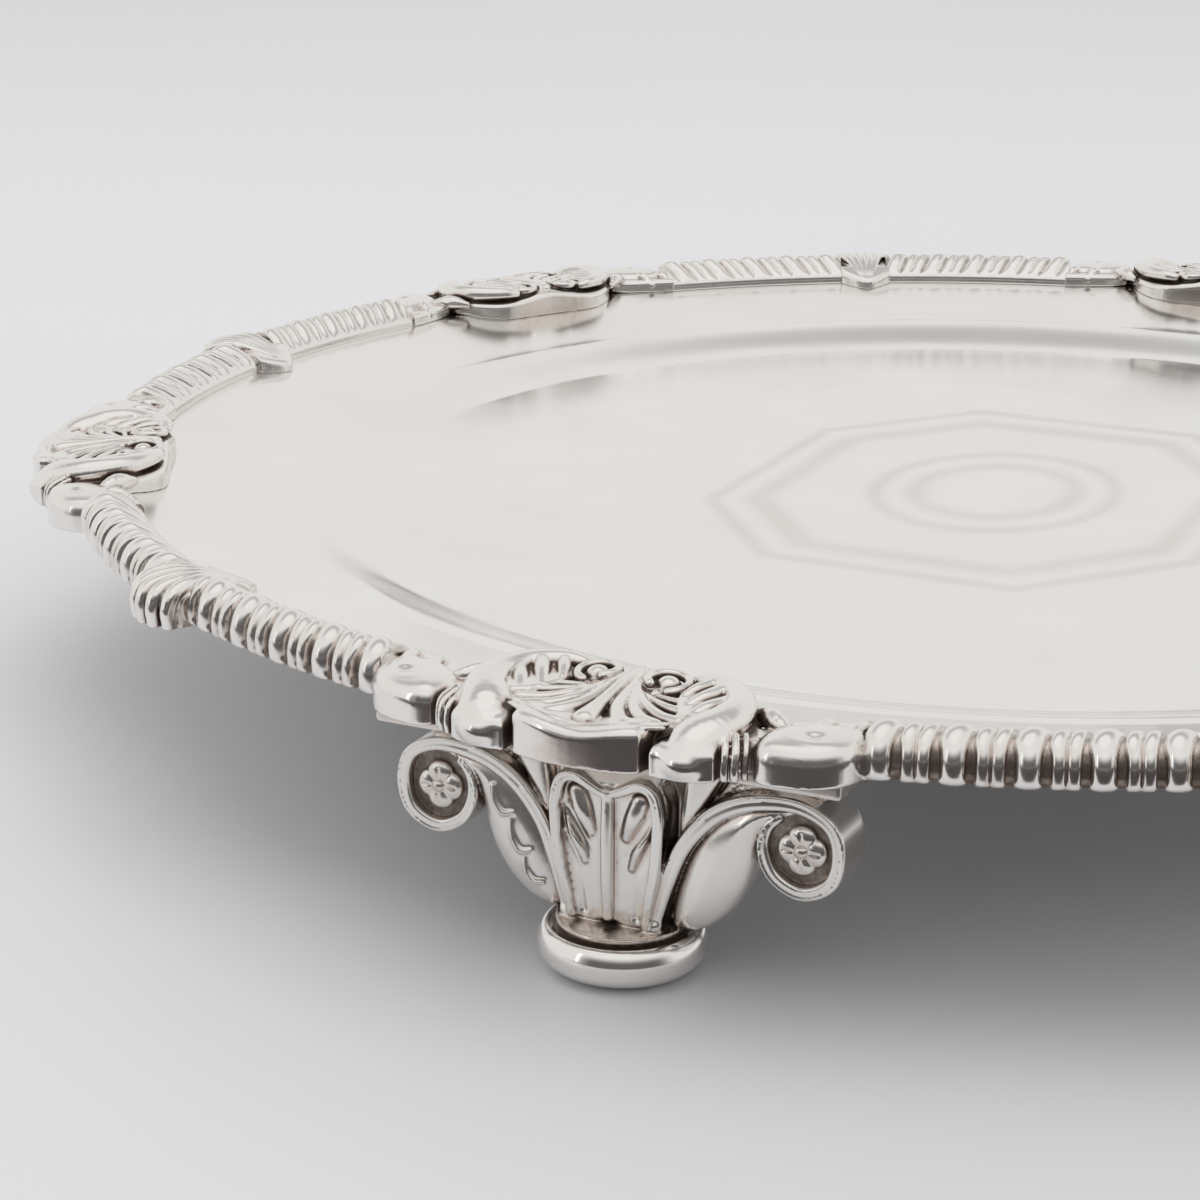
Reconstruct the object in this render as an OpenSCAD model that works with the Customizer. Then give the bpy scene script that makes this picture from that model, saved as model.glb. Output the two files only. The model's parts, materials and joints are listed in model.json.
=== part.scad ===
// Round three-footed salver with a gadroon border, shell mounts and cast scroll feet.
// Origin: on the table, under the centre of the well. +Z is up. The first foot is at -Y.

/* [Plate] */
// Radius of the flat well
well_r = 88; // [84:0.5:92]
// Height of the well's top face above the table
well_z = 22; // [21:0.5:24]
// Thickness of the sheet
sheet_t = 1.4; // [1:0.1:1.6]
// Width of the bouge, the curved step round the well
bouge_w = 12; // [8:0.5:14]
// Rise of the bouge
bouge_h = 2.7; // [2:0.1:3.5]
// Rise of the plain band from the bouge to the border
band_h = 3; // [2:0.1:4]

/* [Border] */
// Radius over the gadroons
border_r = 125; // [124:0.5:128]
// Width of the border
border_w = 8; // [7.5:0.25:9]
// Height of the border above its underside
border_h = 5.7; // [5:0.1:6.5]
// Depth of the grooves between the gadroons
groove_d = 0.9; // [0.4:0.1:1.2]

/* [Shell mounts] */
// How far the large shells reach past the gadroons
shell_reach = 5.8; // [5:0.1:9]
// How far the large shells reach over the plain band
shell_inset = 4.5; // [3:0.1:5]
// Height of the large shells above the gadroons
shell_rise = 1; // [0.8:0.1:2]
// How far the small fans reach past the gadroons
fan_reach = 4.2; // [2:0.1:5]

/* [Feet] */
// Radius of the circle that the feet stand on
foot_r = 118; // [116:0.5:119]
// Distance between the centres of the two volutes
volute_span = 41.2; // [38:0.2:44]
// Diameter of a volute
volute_d = 9.8; // [9:0.1:10.5]
// Diameter of the bun pad
bun_d = 18.2; // [17:0.1:20]
// Height of the bun pad
bun_h = 5.2; // [4.5:0.1:5.5]

/* [Hidden] */
SILVER = [0.83, 0.82, 0.80];
BRIGHT = [0.90, 0.89, 0.87];
DARK = [0.62, 0.60, 0.57];
SHELLS = 6;
FEET = 3;
RUNS = 2 * SHELLS;
SPACING = 360 / SHELLS;          // from one large shell to the next
PITCH = SPACING / 18;            // from one gadroon to the next
SHELL_HALF = 12.9;               // half angle of a large shell mount
FAN_HALF = 2.1;                  // half angle of a small fan
FINE = 96;                       // facets of OpenSCAD's own round shapes
STEP = 15;                       // degrees between the points of a small arc
MOUNT_ROWS = 9;                  // rows of points over the top of a mount
SHELL_COLUMNS = 40;              // sections along a large shell
FAN_COLUMNS = 20;                // sections along a small fan

border_in = border_r - border_w;
rebate_r = border_r - 4;         // the sheet's edge, inside the border
bouge_r = well_r + bouge_w;
seat_z = well_z + bouge_h + band_h;
under_z = seat_z - sheet_t;      // underside of the border, and of the sheet's edge
crest_z = under_z + border_h;
shell_in = border_in - shell_inset;
fan_in = border_in - 3.5;

flange_t = 1.6;                  // strip that the foot is soldered to
flange_half = 26;
flange_r = border_r - 1.2;
flange_z = under_z - flange_t;
face_r = foot_r + 2.4;           // front face of the volutes
bracket_t = 6;                   // radial depth of the scrolls
volute_z = flange_z - volute_d / 2 - 2.6;
bun_flat_r = 5.5;                // flat that the bun stands on
neck_r = 4.6;                    // neck between the bracket and the bun
waist_z = bun_h + 1.4;
waist_half = 8;
panel_half = 6.4;
panel_t = 2.4;                   // how far the centre panel stands in front of the scrolls
band_t = 1.1;                    // how far the scroll bands stand in front of the leaves
eye_r = volute_d / 2 - 1.3;      // recess in a volute
eye_d = 0.9;

// Height of the sheet's top face at radius r: flat well, S-curved bouge, straight band, flat seat.
function smooth(t) = t * t * (3 - 2 * t);
function sheet_z(r) =
    r < well_r ? well_z :
    r < bouge_r ? well_z + bouge_h * smooth((r - well_r) / bouge_w) :
    r < border_in ? well_z + bouge_h + band_h * (r - bouge_r) / (border_in - bouge_r) :
    seat_z;

function sheet_radii() = concat(
    [0],
    [for (i = [0:8]) well_r + bouge_w * i / 8],
    [border_in, rebate_r]
);

// Cross-section of the border, shrunk by inset on its outside and top.
function border_section(inset = 0) = concat(
    [
        [border_in, seat_z],
        [rebate_r, seat_z],
        [rebate_r, under_z],
        [border_r - inset - 0.5, under_z]
    ],
    [
        for (a = [0:STEP:90])
            [
                border_r - inset - 3.4 * (1 - cos(a)),
                under_z + 2.2 + (border_h - inset - 2.2) * sin(a)
            ]
    ],
    [
        [border_in + 1.6, seat_z + 2.2 - inset],
        [border_in, seat_z + 1.2 - inset / 2]
    ]
);

// A length of the border from angle a0 to a1, measured from the -Y direction.
module arc_of(points, a0, a1) {
    rotate([0, 0, a0 - 90])
        rotate_extrude(angle = a1 - a0, $fn = FINE)
            polygon(points);
}

// The space above the sheet's underside.
module above_sheet() {
    rotate_extrude($fn = FINE)
        polygon(concat(
            [for (r = sheet_radii()) [r, sheet_z(r) - sheet_t]],
            [[border_r + 20, under_z], [border_r + 20, crest_z + 10], [0, crest_z + 10]]
        ));
}

module plate() {
    radii = sheet_radii();
    last = len(radii) - 1;
    color(BRIGHT)
        rotate_extrude($fn = FINE)
            polygon(concat(
                [for (r = radii) [r, sheet_z(r)]],
                [for (i = [last:-1:0]) [radii[i], sheet_z(radii[i]) - sheet_t]]
            ));
}

// A rib of the border, cut off at the ends of its run.
module rib(inset, middle, width, from, to) {
    a0 = max(from, middle - width / 2);
    a1 = min(to, middle + width / 2);
    if (a1 - a0 > 0.05)
        arc_of(border_section(inset), a0, a1);
}

// One run of gadroons, from a large shell to the next small fan: each big lobe is followed by
// a narrow double reed.
module run_shape() {
    from = SHELL_HALF;
    to = SPACING / 2 - FAN_HALF;
    arc_of(border_section(groove_d), from, to);
    for (i = [4:8]) {
        lobe = i * PITCH;
        rib(0.3, lobe, 0.52 * PITCH, from, to);
        rib(0, lobe, 0.34 * PITCH, from, to);
        for (side = [-1, 1])
            rib(0.5, lobe - PITCH / 2 + side * 0.075 * PITCH, 0.1 * PITCH, from, to);
    }
}

// Odd runs lie on one side of a large shell, and even runs are their mirror images.
module gadroon_run(i) {
    shell = floor((i - 1) / 2);
    color(SILVER)
        rotate([0, 0, shell * SPACING])
            mirror([i % 2, 0, 0])
                run_shape();
}

// A cast mount, swept from -half to half degrees. Its section changes with the angle: the
// functions give the outer radius, the inner radius and the height of the top.
module mount(half, columns, outer, inner, top) {
    angles = [for (i = [0:columns]) half * (2 * i / columns - 1)];
    rings = [for (a = angles) mount_section(a, outer(a), inner(a), top)];
    count = len(rings[0]);
    points = [
        for (i = [0:columns], p = rings[i])
            [p[0] * sin(angles[i]), -p[0] * cos(angles[i]), p[1]]
    ];
    sides = [
        for (i = [0:columns - 1], j = [0:count - 1])
            let (k = (j + 1) % count, here = i * count, next = here + count)
                each [
                    [here + j, here + k, next + k],
                    [here + j, next + k, next + j]
                ]
    ];
    first = [for (j = [count - 1:-1:0]) j];
    last = [for (j = [0:count - 1]) columns * count + j];
    polyhedron(points, concat(sides, [first, last]));
}

// Section of a mount at angle a, as radius and height: along the sheet and the underside,
// up the front, and back over the top.
function mount_section(a, out, in, top) =
    let (
        low = sheet_z(in) + 0.8,
        lip = out - 0.8,
        high = top(a, lip)
    )
    concat(
        [
            [in, sheet_z(in)],
            [border_in, seat_z],
            [rebate_r, seat_z],
            [rebate_r, under_z],
            [out - 0.6, under_z],
            [out, under_z + 0.6],
            [out, high - 1.4]
        ],
        [
            for (i = [MOUNT_ROWS:-1:0])
                let (t = i / MOUNT_ROWS, r = in + (lip - in) * t)
                    [r, low + (top(a, r) - low) * sin(90 * min(1, 4 * t))]
        ]
    );

// 1 up to the edge, then falling to 0 over the width.
function fall(x, edge, width = 0.5) = 1 - smooth(min(1, max(0, (x - edge) / width)));

// Flutes that fan out from a root: 1 on a flute's ridge, 0 in a groove.
function flutes(a, r, root, spread) =
    abs(cos(180 * atan2(r * sin(a), r * cos(a) - root) / spread));

function shell_outer(a) =
    border_r + 2.9 + 1.6 * fall(abs(a), 7) + (shell_reach - 4.5) * fall(abs(a), 3);
function shell_inner(a) = border_in - 0.3 - (shell_inset - 0.3) * sqrt(max(0, 1 - pow(a / 8, 2)));
function shell_height(a, r) =
    let (oval = fall(norm([r * sin(a) / 15, (r - 122) / 9]), 0.8, 0.3))
        crest_z + 0.4 + oval * (shell_rise - 0.4 - 0.7 * (1 - flutes(a, r, shell_in, 16)));

module large_shell(i) {
    color(SILVER)
        rotate([0, 0, (i - 1) * SPACING])
            mount(
                SHELL_HALF, SHELL_COLUMNS,
                function (a) shell_outer(a),
                function (a) shell_inner(a),
                function (a, r) shell_height(a, r)
            );
}

function fan_outer(a) = border_r + fan_reach - 1.6 * pow(a / FAN_HALF, 2);
function fan_inner(a) = border_in - 0.3 - (border_in - fan_in - 0.3) * sqrt(1 - pow(a / FAN_HALF, 2));
function fan_height(a, r) = crest_z + 0.5 - 0.7 * (1 - flutes(a, r, fan_in, 10));

module small_fan(i) {
    color(SILVER)
        rotate([0, 0, (i - 0.5) * SPACING])
            mount(
                FAN_HALF, FAN_COLUMNS,
                function (a) fan_outer(a),
                function (a) fan_inner(a),
                function (a, r) fan_height(a, r)
            );
}

module place_foot(i) {
    rotate([0, 0, (i - 1) * 360 / FEET])
        children();
}

// Stands an outline in x and z up, front face at radius front, depth towards the centre.
module upright(front, depth) {
    translate([0, -front + depth, 0])
        rotate([90, 0, 0])
            linear_extrude(height = depth)
                children();
}

module foot_flange(i) {
    color(DARK)
        place_foot(i)
            difference() {
                translate([-flange_half, -flange_r, flange_z])
                    cube([2 * flange_half, flange_r - foot_r + 6, flange_t + 2]);
                above_sheet();
            }
}

// Half outline of the bracket behind the bands, from the flange down to the waist.
function leaf_side() = [
    [volute_span / 2, flange_z],
    [volute_span / 2, volute_z],
    [16.2, volute_z - 0.6],
    [15.3, 14.2],
    [14.3, 11.2],
    [12.2, 8.6],
    [9.4, waist_z + 0.3],
    [waist_half, waist_z]
];

module bracket_outline() {
    side = leaf_side();
    last = len(side) - 1;
    polygon(concat(side, [for (i = [last:-1:0]) [-side[i][0], side[i][1]]]));
    for (s = [-1, 1])
        translate([s * volute_span / 2, volute_z])
            circle(d = volute_d, $fn = 48);
}

// Centre line of the raised S-scroll band on the +X side, from the waist to the volute.
function band_line() = concat(
    [[4.8, waist_z], [6.3, 12.5], [8.3, 17]],
    [for (a = [150:-STEP:90]) [14.2 + 5.2 * cos(a), 17.6 + 4.6 * sin(a)]]
);

module band_outline() {
    line = band_line();
    last = len(line) - 1;
    half = 0.9;
    polygon(concat(
        [for (p = line) [p[0] + half, p[1] - half / 2]],
        [for (i = [last:-1:0]) [line[i][0] - half, line[i][1] + half / 2]]
    ));
}

// Tongue panel with a round top and a tapering foot.
module panel_outline() {
    top = flange_z - 0.6;
    polygon(concat(
        [[-4.4, waist_z], [4.4, waist_z], [panel_half, 15]],
        [for (a = [0:STEP:180]) [panel_half * cos(a), top - 2.6 + 2.6 * sin(a)]],
        [[-panel_half, 15]]
    ));
}

module bracket_shape() {
    difference() {
        union() {
            upright(face_r, bracket_t)
                bracket_outline();
            upright(face_r + panel_t, panel_t + 1)
                panel_outline();
            for (side = [0, 1])
                mirror([side, 0, 0])
                    upright(face_r + band_t, band_t + 1)
                        band_outline();
            translate([0, -foot_r, bun_h])
                cylinder(h = waist_z - bun_h + 1, r = neck_r, $fn = 48);
        }
        for (side = [-1, 1])
            translate([side * volute_span / 2, -face_r - 1, volute_z])
                rotate([-90, 0, 0])
                    cylinder(h = eye_d + 1, r = eye_r, $fn = 48);
        translate([-border_r, -border_r - 20, flange_z])
            cube([2 * border_r, 40, 20]);
        above_sheet();
    }
}

module foot_bracket(i) {
    color(SILVER)
        place_foot(i)
            bracket_shape();
}

// Flattened bun with a small flat to stand on and a seat for the bracket's neck.
module foot_bun(i) {
    bulge = bun_d / 2 - bun_flat_r;
    mid = bun_h / 2 - 0.1;
    color(BRIGHT)
        place_foot(i)
            translate([0, -foot_r, 0])
                rotate_extrude($fn = FINE)
                    polygon(concat(
                        [[0, 0]],
                        [for (a = [-90:STEP:60]) [bun_flat_r + bulge * cos(a), mid + mid * sin(a)]],
                        [[neck_r, bun_h], [0, bun_h]]
                    ));
}

// Four petals round a boss, in the eye of a volute.
module rosette_shape() {
    linear_extrude(height = 0.7) {
        circle(r = 1.2, $fn = 24);
        for (k = [0:3])
            rotate(k * 90)
                translate([1.45, 0])
                    circle(r = 1.2, $fn = 24);
    }
    cylinder(h = 1.3, r = 0.62, $fn = 24);
}

module rosette(i, side) {
    color(DARK)
        place_foot(i)
            translate([side * volute_span / 2, -face_r + eye_d, volute_z])
                rotate([90, 0, 0])
                    rosette_shape();
}

plate();
for (i = [1:RUNS])
    gadroon_run(i);
for (i = [1:SHELLS]) {
    large_shell(i);
    small_fan(i);
}
for (i = [1:FEET]) {
    foot_flange(i);
    foot_bracket(i);
    foot_bun(i);
    rosette(i, -1);
    rosette(i, 1);
}
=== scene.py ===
import json
import math
from collections import namedtuple

import bpy
import numpy as np
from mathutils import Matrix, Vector


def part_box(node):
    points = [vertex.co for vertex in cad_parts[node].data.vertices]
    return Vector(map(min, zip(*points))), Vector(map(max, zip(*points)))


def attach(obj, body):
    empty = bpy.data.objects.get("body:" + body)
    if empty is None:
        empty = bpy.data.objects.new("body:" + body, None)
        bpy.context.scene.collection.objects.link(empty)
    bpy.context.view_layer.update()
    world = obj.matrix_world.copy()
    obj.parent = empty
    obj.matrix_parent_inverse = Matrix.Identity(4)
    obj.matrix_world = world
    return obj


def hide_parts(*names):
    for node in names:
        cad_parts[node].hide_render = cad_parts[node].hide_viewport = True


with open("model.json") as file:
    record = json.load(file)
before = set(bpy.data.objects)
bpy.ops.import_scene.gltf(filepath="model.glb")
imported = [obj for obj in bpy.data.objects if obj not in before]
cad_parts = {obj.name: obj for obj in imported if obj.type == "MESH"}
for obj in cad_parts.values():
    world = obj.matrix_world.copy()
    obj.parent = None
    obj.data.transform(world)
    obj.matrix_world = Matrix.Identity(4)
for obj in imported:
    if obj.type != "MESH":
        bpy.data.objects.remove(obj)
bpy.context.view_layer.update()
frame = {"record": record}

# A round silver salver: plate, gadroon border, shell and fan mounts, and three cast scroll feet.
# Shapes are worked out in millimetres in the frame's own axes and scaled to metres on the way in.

MM = 0.001
BODY = "root"
SHELLS = 6
FEET = 3


# -------- sizes, from the frame

def node_box(name):
    """Lowest and highest corner of a CAD node, in millimetres."""
    low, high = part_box(name)
    return np.array(low) / MM, np.array(high) / MM


MOUNTS = {mount["name"]: np.array(mount["pos_m"]) / MM for mount in frame["record"]["mounts"]}
PLATE_LOW, PLATE_HIGH = node_box("plate")
SHELL_LOW, SHELL_HIGH = node_box("large_shell_1")
RUN_LOW, RUN_HIGH = node_box("gadroon_run_1")
BRACKET_LOW, BRACKET_HIGH = node_box("foot_1_bracket")
FLANGE_LOW, FLANGE_HIGH = node_box("foot_1_flange")
BUN_LOW, BUN_HIGH = node_box("foot_1_bun")

WELL_Z = MOUNTS["well"][2]
FOOT_R = -MOUNTS["foot_1_base"][1]
SHEET_EDGE = PLATE_HIGH[0]  # radius of the sheet's edge, under the border
BORDER_R = SHEET_EDGE + 4   # radius over the gadroons
BORDER_IN = BORDER_R - 8
SEAT_Z = PLATE_HIGH[2]      # the border lies on the sheet here
UNDER_Z = RUN_LOW[2]        # underside of the border
CREST_Z = RUN_HIGH[2]
SHEET_T = WELL_Z - PLATE_LOW[2]
WELL_R = 88                 # radius of the flat well
BOUGE_W = 12                # width and rise of the curve round it
BOUGE_H = 2.7
LIP_R = -SHELL_LOW[1]
SHELL_HALF = 12.9           # half angles of the mounts, in degrees
FAN_HALF = 2.1
PITCH = 360 / SHELLS / 18   # from one gadroon to the next, in degrees
LOBE_HALF = 0.235           # half width of a big lobe, as a share of the pitch
LEAN = 1.1                  # how far the gadroons lean at the inner edge, in degrees
GROOVE_DEPTH = 1.1
SHELL_INSET = 4.5           # how far the mounts reach in over the sheet
FAN_INSET = 3.5
FAN_R = node_box("small_fan_2")[1][0]
VOLUTE_X = 20.6             # middle of a volute
VOLUTE_Z = 17.2
EYE_D = 0.9                 # depth of the volutes' eyes
FACE_R = FOOT_R + 2.4       # front faces of the volutes
PAD_BACK = 24               # a height below every mount's underside
BRACKET_BACK = -6           # back of a bracket, behind the volutes' faces


# -------- meshes

def make_piece(name, points, faces, stands_for, material, relief):
    """A mesh piece from points in millimetres and blocks of faces: smooth quads, and flat
    triangles for the ends. relief says how hollow the surface is at each point, from 0 to 1."""
    mesh = bpy.data.meshes.new(name)
    sides = np.concatenate([np.full(len(block), block.shape[1]) for block in faces])
    corners = np.concatenate([block.ravel() for block in faces]).astype(np.int32)
    starts = np.concatenate([[0], np.cumsum(sides)[:-1]]).astype(np.int32)
    mesh.vertices.add(len(points))
    mesh.vertices.foreach_set("co", (np.asarray(points) * MM).astype(np.float32).ravel())
    mesh.loops.add(len(corners))
    mesh.loops.foreach_set("vertex_index", corners)
    mesh.polygons.add(len(sides))
    mesh.polygons.foreach_set("loop_start", starts)
    mesh.polygons.foreach_set("use_smooth", sides == 4)
    mesh.update(calc_edges=True)
    colours = np.ones((len(points), 4), np.float32)
    colours[:, :3] = np.asarray(relief)[:, None]
    layer = mesh.color_attributes.new("Relief", "FLOAT_COLOR", "POINT")
    layer.data.foreach_set("color", colours.ravel())
    mesh.validate()
    piece = bpy.data.objects.new(name, mesh)
    bpy.context.scene.collection.objects.link(piece)
    mesh.materials.append(material)
    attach(piece, BODY)
    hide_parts(*stands_for)


def make_round(name, node, count, points, faces, material, relief, turn=0.0):
    """The same piece at equal steps round the salver. The first is turned by a share of a step."""
    for k in range(count):
        make_piece(name.format(k + 1), turned(points, (k + turn) * 360 / count), faces,
                   [node.format(k + 1)], material, relief)


def grid_faces(rows, columns, close_rows=False, close_columns=False):
    """Quads of a grid of points that was laid out row by row."""
    i = np.arange(rows if close_rows else rows - 1)[:, None]
    j = np.arange(columns if close_columns else columns - 1)[None, :]
    down, right = (i + 1) % rows, (j + 1) % columns
    corners = (i * columns + j, i * columns + right, down * columns + right, down * columns + j)
    return np.stack([np.broadcast_to(c, (len(i), j.shape[1])).ravel() for c in corners], 1)


def lathe(profile, spokes):
    """A closed turned shape. The profile runs from the axis, round the outside and back to the
    axis, in radius and height, with the solid on its left."""
    angles = np.radians(np.arange(spokes) * 360 / spokes)[:, None]
    ring = np.asarray(profile)[1:-1]
    r, z = ring[:, 0][None, :], ring[:, 1][None, :]
    points = np.stack([r * np.cos(angles), r * np.sin(angles), z + 0 * angles], 2).reshape(-1, 3)
    poles = np.array([[0, 0, profile[0][1]], [0, 0, profile[-1][1]]])
    here = np.arange(spokes) * len(ring)
    there = (here + len(ring)) % (spokes * len(ring))
    first, last = np.full(spokes, len(points)), np.full(spokes, len(points) + 1)
    caps = np.concatenate([np.stack([first, there, here], 1),
                           np.stack([last, here + len(ring) - 1, there + len(ring) - 1], 1)])
    walls = grid_faces(spokes, len(ring), close_rows=True)[:, ::-1]
    return np.concatenate([points, poles]), [walls, caps]


def turned(points, degrees):
    """Points turned about the Z axis."""
    a = math.radians(degrees)
    turn = np.array([[math.cos(a), -math.sin(a), 0], [math.sin(a), math.cos(a), 0], [0, 0, 1]])
    return points @ turn.T


def smooth_step(t):
    """0 below 0, 1 above 1, and smooth between."""
    t = np.clip(t, 0, 1)
    return t * t * (3 - 2 * t)


def smooth_curve(line, spans, closed=False):
    """Points along a Catmull-Rom curve through the rows of a line."""
    line = np.asarray(line, float)
    if closed:
        line = np.concatenate([line[-1:], line, line[:2]])
    else:
        line = np.concatenate([2 * line[:1] - line[1:2], line, 2 * line[-1:] - line[-2:-1]])
    t = (np.arange(spans) / spans)[:, None]
    curve = []
    for a, b, c, d in zip(line[:-3], line[1:-2], line[2:-1], line[3:]):
        curve.append(0.5 * (2 * b + (c - a) * t + (2 * a - 5 * b + 4 * c - d) * t ** 2
                            + (3 * b - a - 3 * c + d) * t ** 3))
    if not closed:
        curve.append(line[-2:-1])
    return np.concatenate(curve)


# -------- clay

Shape = namedtuple("Shape", "distance low high")
FAR = 4.0  # the distance that empty clay starts with


def ball(centre, radii):
    """An ellipsoid."""
    centre, radii = np.array(centre, float), np.array(radii, float)

    def distance(*place):
        scaled = [(p - c) / r for p, c, r in zip(place, centre, radii)]
        k0 = np.sqrt(sum(s ** 2 for s in scaled))
        k1 = np.sqrt(sum((s / r) ** 2 for s, r in zip(scaled, radii)))
        return k0 * (k0 - 1) / np.maximum(k1, 1e-6)

    return Shape(distance, centre - radii, centre + radii)


def rope(line, squash=1.0):
    """A round rope along a curve. Rows hold u, v, w and radius; squash flattens it along w."""
    curve = smooth_curve(line, 5)
    reach = curve[:, 3].max()

    def distance(u, v, w):
        best = np.full(np.broadcast_shapes(u.shape, v.shape, w.shape), FAR, np.float32)
        for a, b in zip(curve[:-1], curve[1:]):
            along = b[:3] - a[:3]
            t = ((u - a[0]) * along[0] + (v - a[1]) * along[1] + (w - a[2]) * along[2])
            t = np.clip(t / max(along @ along, 1e-9), 0, 1)
            off = np.sqrt((u - a[0] - t * along[0]) ** 2 + (v - a[1] - t * along[1]) ** 2
                          + ((w - a[2] - t * along[2]) / squash) ** 2)
            best = np.minimum(best, off - a[3] - t * (b[3] - a[3]))
        return best

    return Shape(distance, curve[:, :3].min(0) - reach, curve[:, :3].max(0) + reach)


def outline_distance(outline, u, v):
    """Distance from an outline in the uv plane, below 0 inside it."""
    best = np.full(np.broadcast_shapes(u.shape, v.shape), FAR ** 2, np.float32)
    inside = np.zeros(best.shape, bool)
    for a, b in zip(outline, np.roll(outline, -1, axis=0)):
        along = b - a
        t = np.clip(((u - a[0]) * along[0] + (v - a[1]) * along[1]) / max(along @ along, 1e-9), 0, 1)
        best = np.minimum(best, (u - a[0] - t * along[0]) ** 2 + (v - a[1] - t * along[1]) ** 2)
        crosses = ((a[1] > v) != (b[1] > v)) & (
            u < (v - a[1]) * along[0] / (along[1] if along[1] else 1e-9) + a[0])
        inside ^= crosses
    best = np.sqrt(best)
    return np.where(inside, -best, best)


def rounded(flat, deep, radius):
    """Where two solids meet, with the edge between them rounded."""
    a, b = flat + radius, deep + radius
    return np.minimum(np.maximum(a, b), 0) + np.hypot(np.maximum(a, 0), np.maximum(b, 0)) - radius


def pad(outline, back, front, rounding, dome=0.0, slope=2.0, smooth=True):
    """An outline in the uv plane raised from back to front along w. front may be a function of
    u and v, and the top swells by dome over the distance slope from the edge."""
    outline = smooth_curve(outline, 4, closed=True) if smooth else np.asarray(outline, float)

    def distance(u, v, w):
        flat = outline_distance(outline, u, v)
        inward = np.clip(-flat / slope, 0, 1)
        top = (front(u, v) if callable(front) else front) + dome * np.sqrt(1 - (1 - inward) ** 2)
        return rounded(flat, np.maximum(w - top, back - w), rounding)

    high = FAR + (40 if callable(front) else front + dome)
    return Shape(distance, (*outline.min(0), back), (*outline.max(0), high))


def strap(line, back, rounding, edge):
    """A flat band along a curve. Rows hold u, v, half width and front; edge raises a thin line
    along its left side."""
    curve = smooth_curve(line, 6)
    reach = curve[:, 2].max()

    def distance(u, v, w):
        best = np.full(np.broadcast_shapes(u.shape, v.shape), FAR, np.float32)
        half, front, side = best * 0, best * 0, best * 0
        for a, b in zip(curve[:-1], curve[1:]):
            along = b[:2] - a[:2]
            t = np.clip(((u - a[0]) * along[0] + (v - a[1]) * along[1]) / (along @ along), 0, 1)
            du, dv = u - a[0] - t * along[0], v - a[1] - t * along[1]
            width = a[2] + t * (b[2] - a[2])
            off = np.hypot(du, dv) - width
            nearer = off < best
            best = np.where(nearer, off, best)
            half = np.where(nearer, width, half)
            front = np.where(nearer, a[3] + t * (b[3] - a[3]), front)
            side = np.where(nearer, (along[0] * dv - along[1] * du) / np.hypot(*along), side)
        lateral = side / np.maximum(half, 0.05)
        top = front + edge * (np.exp(-((lateral - 0.7) / 0.2) ** 2)
                              - 0.5 * np.exp(-((lateral - 0.25) / 0.2) ** 2))
        return rounded(best, np.maximum(w - top, back - w), rounding)

    low, high = curve.min(0), curve.max(0)
    return Shape(distance, (low[0] - reach, low[1] - reach, back),
                 (high[0] + reach, high[1] + reach, high[3] + edge + 0.5))


def largest_part(points, faces):
    """The biggest connected part of a mesh, without loose crumbs and closed bubbles."""
    ends, others = faces.ravel(), np.roll(faces, 1, axis=1).ravel()
    label, last = np.arange(len(points)), None
    while last is None or (label != last).any():
        last = label
        label = last.copy()
        np.minimum.at(label, ends, last[others])
        np.minimum.at(label, others, last[ends])
        label = label[label]
    keep = label == np.bincount(label).argmax()
    number = np.cumsum(keep) - 1
    return points[keep], number[faces[keep[faces[:, 0]]]]


def add_crossings(field, axis, total, count):
    """Add, cell by cell, where the grid's edges along an axis cross the surface. Gives which
    edges cross it and which start inside."""
    one, two = (axis + 1) % 3, (axis + 2) % 3
    facing = np.moveaxis(field, (axis, one, two), (0, 1, 2))
    near, far = facing[:-1], facing[1:]
    crossed = (near < 0) != (far < 0)
    part = np.where(crossed, near / np.where(near == far, 1, near - far), 0)
    sums = np.moveaxis(total, (axis, one, two, 3), (0, 1, 2, 3))
    counts = np.moveaxis(count, (axis, one, two), (0, 1, 2))
    for j, k in np.ndindex(2, 2):
        cut = (slice(None), slice(j, crossed.shape[1] - 1 + j), slice(k, crossed.shape[2] - 1 + k))
        counts += crossed[cut]
        sums[..., axis] += part[cut]
        sums[..., one] += j * crossed[cut]
        sums[..., two] += k * crossed[cut]
    return crossed, near < 0


def crossing_quads(number, axis, crossed, inward):
    """A quad for each edge that crosses the surface, between the four cells round it."""
    numbers = np.moveaxis(number, (axis, (axis + 1) % 3, (axis + 2) % 3), (0, 1, 2))
    i, j, k = np.nonzero(crossed)
    quad = np.stack([numbers[i, j - 1, k - 1], numbers[i, j, k - 1],
                     numbers[i, j, k], numbers[i, j - 1, k]], 1)
    return np.where(inward[i, j, k][:, None], quad, quad[:, ::-1])


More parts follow.
